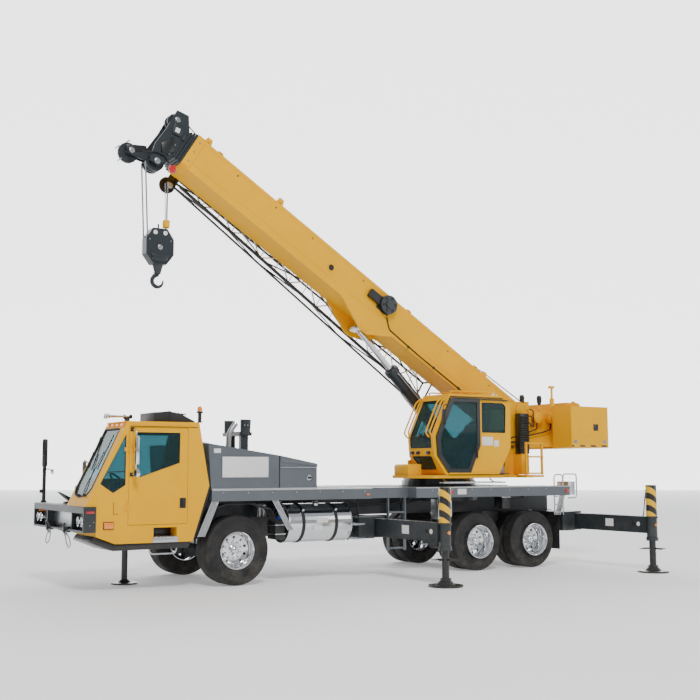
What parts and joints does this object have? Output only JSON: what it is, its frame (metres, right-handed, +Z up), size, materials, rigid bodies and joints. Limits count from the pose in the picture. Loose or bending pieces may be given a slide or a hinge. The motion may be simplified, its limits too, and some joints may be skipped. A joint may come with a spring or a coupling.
{
  "type": "mobile crane",
  "caption": "Truck-mounted telescopic mobile crane with two cabs, slewing superstructure, telescoping boom with hook block and jib, outriggers set out and a tandem rear axle.",
  "frame": {"origin": "on the ground, midway between the front bumper and the counterweight's rear face, on the carrier's centre plane", "axes": "+X towards the front bumper, +Y to the machine's left, +Z up"},
  "size_m": [10.95, 6.66, 8.0365],
  "materials": {
    "frame_grey": "satin dark grey paint",
    "crane_yellow": "gloss yellow paint",
    "door_black": "black paint",
    "deck_grey": "mid grey paint with tread plate",
    "seat_cloth": "woven seat cloth",
    "engine": "raw casting",
    "polished_metal": "polished",
    "bare_steel": "ground steel",
    "jib_grey": "dark grey paint",
    "ring_black": "black paint",
    "cab_trim": "grained",
    "tyre_rubber": "worn rubber"
  },
  "bodies": {
    "carrier": {"chassis_frame": "frame_grey", "slew_ring": "ring_black", "outrigger_box_front": "frame_grey", "outrigger_box_rear": "frame_grey", "deck_left": "deck_grey", "deck_right": "deck_grey", "front_bumper": "frame_grey", "carrier_cab": "crane_yellow", "driver_seat": "seat_cloth", "steering_column": "cab_trim", "engine_hood": "deck_grey", "engine_block": "engine", "boom_rest": "frame_grey", "fuel_tank": "polished_metal", "hydraulic_tank": "frame_grey", "front_cowl": "frame_grey", "front_axle": "frame_grey", "rear_tandem": "frame_grey"},
    "superstructure": {"turntable": "crane_yellow", "counterweight": "crane_yellow", "winches": "frame_grey", "crane_cab": "crane_yellow", "operator_seat": "seat_cloth"},
    "boom": {"boom_base": "crane_yellow", "jib": "jib_grey"},
    "boom_section_1": {"boom_mid_inner": "frame_grey"},
    "boom_section_2": {"boom_mid_outer": "frame_grey"},
    "boom_section_3": {"boom_tip": "frame_grey", "boom_head": "frame_grey"},
    "hook": {"hook_block": "frame_grey"},
    "lift_cylinder_rod": {"lift_rod": "bare_steel"},
    "lift_cylinder_barrel": {"lift_barrel": "frame_grey"},
    "nose_jack_ram": {"nose_jack": "bare_steel"},
    "cab_door": {"carrier_door": "crane_yellow"},
    "crane_cab_sliding_door": {"crane_cab_door": "door_black"},
    "outrigger_beam_front_left": {"beam_front_left": "frame_grey"},
    "outrigger_ram_front_left": {"jack_front_left": "bare_steel"},
    "outrigger_beam_front_right": {"beam_front_right": "frame_grey"},
    "outrigger_ram_front_right": {"jack_front_right": "bare_steel"},
    "outrigger_beam_rear_left": {"beam_rear_left": "frame_grey"},
    "outrigger_ram_rear_left": {"jack_rear_left": "bare_steel"},
    "outrigger_beam_rear_right": {"beam_rear_right": "frame_grey"},
    "outrigger_ram_rear_right": {"jack_rear_right": "bare_steel"},
    "steering_knuckle_left": {"knuckle_left": "frame_grey"},
    "front_wheel_left": {"tyre_front_left": "tyre_rubber", "rim_front_left": "polished_metal"},
    "twin_wheel_mid_left": {"tyres_mid_left": "tyre_rubber", "rims_mid_left": "polished_metal"},
    "twin_wheel_rear_left": {"tyres_rear_left": "tyre_rubber", "rims_rear_left": "polished_metal"},
    "steering_knuckle_right": {"knuckle_right": "frame_grey"},
    "front_wheel_right": {"tyre_front_right": "tyre_rubber", "rim_front_right": "polished_metal"},
    "twin_wheel_mid_right": {"tyres_mid_right": "tyre_rubber", "rims_mid_right": "polished_metal"},
    "twin_wheel_rear_right": {"tyres_rear_right": "tyre_rubber", "rims_rear_right": "polished_metal"}
  },
  "joints": [
    {"name": "slew", "type": "hinge", "parent": "carrier", "child": "superstructure", "pos_m": [-2.095, 0, 1.69], "axis": [0, 0, 1], "continuous": true},
    {"name": "boom_luff", "type": "hinge", "parent": "superstructure", "child": "boom", "pos_m": [-3.925, 0, 3.05], "axis": [0, -1, 0], "range_deg": [-32, 44]},
    {"name": "boom_extend_1", "type": "slide", "parent": "boom", "child": "boom_section_1", "axis": [0.848, 0, 0.5299], "range_m": [0, 6.7]},
    {"name": "boom_extend_2", "type": "slide", "parent": "boom_section_1", "child": "boom_section_2", "axis": [0.848, 0, 0.5299], "range_m": [0, 6.7]},
    {"name": "boom_extend_3", "type": "slide", "parent": "boom_section_2", "child": "boom_section_3", "axis": [0.848, 0, 0.5299], "range_m": [0, 6.7]},
    {"name": "hook_plumb", "type": "hinge", "parent": "boom_section_3", "child": "hook", "pos_m": [3.92996, 0, 7.08573], "axis": [0, -1, 0], "range_deg": [-45, 33]},
    {"name": "lift_rod_pivot", "type": "hinge", "parent": "boom", "child": "lift_cylinder_rod", "pos_m": [-0.21381, 0, 4.50821], "axis": [0, -1, 0], "range_deg": [-4, 6]},
    {"name": "lift_cylinder_stroke", "type": "slide", "parent": "lift_cylinder_rod", "child": "lift_cylinder_barrel", "axis": [-0.709, 0, -0.7052], "range_m": [-0.83, 1.14]},
    {"name": "beam_front_left_slide", "type": "slide", "parent": "carrier", "child": "outrigger_beam_front_left", "axis": [0, 1, 0], "range_m": [-1.865, 0]},
    {"name": "jack_front_left_lift", "type": "slide", "parent": "outrigger_beam_front_left", "child": "outrigger_ram_front_left", "axis": [0, 0, 1], "range_m": [0, 0.44]},
    {"name": "beam_front_right_slide", "type": "slide", "parent": "carrier", "child": "outrigger_beam_front_right", "axis": [0, -1, 0], "range_m": [-1.865, 0]},
    {"name": "jack_front_right_lift", "type": "slide", "parent": "outrigger_beam_front_right", "child": "outrigger_ram_front_right", "axis": [0, 0, 1], "range_m": [0, 0.44]},
    {"name": "beam_rear_left_slide", "type": "slide", "parent": "carrier", "child": "outrigger_beam_rear_left", "axis": [0, 1, 0], "range_m": [-1.865, 0]},
    {"name": "jack_rear_left_lift", "type": "slide", "parent": "outrigger_beam_rear_left", "child": "outrigger_ram_rear_left", "axis": [0, 0, 1], "range_m": [0, 0.44]},
    {"name": "beam_rear_right_slide", "type": "slide", "parent": "carrier", "child": "outrigger_beam_rear_right", "axis": [0, -1, 0], "range_m": [-1.865, 0]},
    {"name": "jack_rear_right_lift", "type": "slide", "parent": "outrigger_beam_rear_right", "child": "outrigger_ram_rear_right", "axis": [0, 0, 1], "range_m": [0, 0.44]},
    {"name": "nose_jack_lift", "type": "slide", "parent": "carrier", "child": "nose_jack_ram", "axis": [0, 0, 1], "range_m": [0, 0.5]},
    {"name": "steer_left", "type": "hinge", "parent": "carrier", "child": "steering_knuckle_left", "pos_m": [2.855, 0.8, 0.559], "axis": [0, 0, 1], "range_deg": [-32, 32]},
    {"name": "front_wheel_left_roll", "type": "hinge", "parent": "steering_knuckle_left", "child": "front_wheel_left", "pos_m": [2.855, 1.0435, 0.559], "axis": [0, 1, 0], "continuous": true},
    {"name": "twin_wheel_mid_left_roll", "type": "hinge", "parent": "carrier", "child": "twin_wheel_mid_left", "pos_m": [-2.09, 0.9085, 0.53], "axis": [0, 1, 0], "continuous": true},
    {"name": "twin_wheel_rear_left_roll", "type": "hinge", "parent": "carrier", "child": "twin_wheel_rear_left", "pos_m": [-3.412, 0.9085, 0.53], "axis": [0, 1, 0], "continuous": true},
    {"name": "steer_right", "type": "hinge", "parent": "carrier", "child": "steering_knuckle_right", "pos_m": [2.855, -0.8, 0.559], "axis": [0, 0, 1], "range_deg": [-32, 32]},
    {"name": "front_wheel_right_roll", "type": "hinge", "parent": "steering_knuckle_right", "child": "front_wheel_right", "pos_m": [2.855, -1.0435, 0.559], "axis": [0, 1, 0], "continuous": true},
    {"name": "twin_wheel_mid_right_roll", "type": "hinge", "parent": "carrier", "child": "twin_wheel_mid_right", "pos_m": [-2.09, -0.9085, 0.53], "axis": [0, 1, 0], "continuous": true},
    {"name": "twin_wheel_rear_right_roll", "type": "hinge", "parent": "carrier", "child": "twin_wheel_rear_right", "pos_m": [-3.412, -0.9085, 0.53], "axis": [0, 1, 0], "continuous": true},
    {"name": "cab_door_hinge", "type": "hinge", "parent": "carrier", "child": "cab_door", "pos_m": [4.739, 1.286, 1.015], "axis": [0, 0, -1], "range_deg": [0, 70]},
    {"name": "crane_cab_door_slide", "type": "slide", "parent": "superstructure", "child": "crane_cab_sliding_door", "axis": [-1, 0, 0], "range_m": [0, 0.6]}
  ],
  "couplings": [
    {"joint": "boom_extend_2", "follows": "boom_extend_1", "ratio": 1},
    {"joint": "boom_extend_3", "follows": "boom_extend_1", "ratio": 1},
    {"joint": "hook_plumb", "follows": "boom_luff", "ratio": -1},
    {"joint": "lift_rod_pivot", "follows": "boom_luff", "ratio": 0.11},
    {"joint": "lift_cylinder_stroke", "follows": "boom_luff", "m_per_rad": 1.47},
    {"joint": "steer_right", "follows": "steer_left", "ratio": 1}
  ]
}
